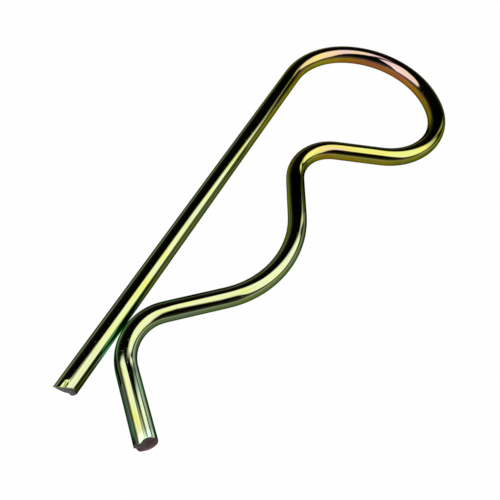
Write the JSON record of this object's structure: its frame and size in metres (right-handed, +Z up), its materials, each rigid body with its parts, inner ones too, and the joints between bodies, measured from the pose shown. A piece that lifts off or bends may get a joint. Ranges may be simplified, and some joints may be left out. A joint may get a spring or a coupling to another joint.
{
  "type": "hitch r clip",
  "caption": "Bent spring-wire R clip: a straight leg for a shaft's cross hole, a finger bow, and a shaped leg that snaps over the shaft, in iridescent yellow zinc plate.",
  "frame": {"origin": "under the middle of the clip's box, on the surface that it lies on", "axes": "+X along the straight leg towards its free end, the way the clip is pushed in; +Y from the straight leg towards the shaped leg; +Z up, square to the plane that the wire is bent in"},
  "size_m": [0.1084, 0.0412, 0.004],
  "materials": {
    "plated_wire": "bright yellow-chromate zinc plate on spring steel, iridescent from rose to olive to green"
  },
  "bodies": {
    "root": {"r_clip": "plated_wire"}
  },
  "joints": []
}
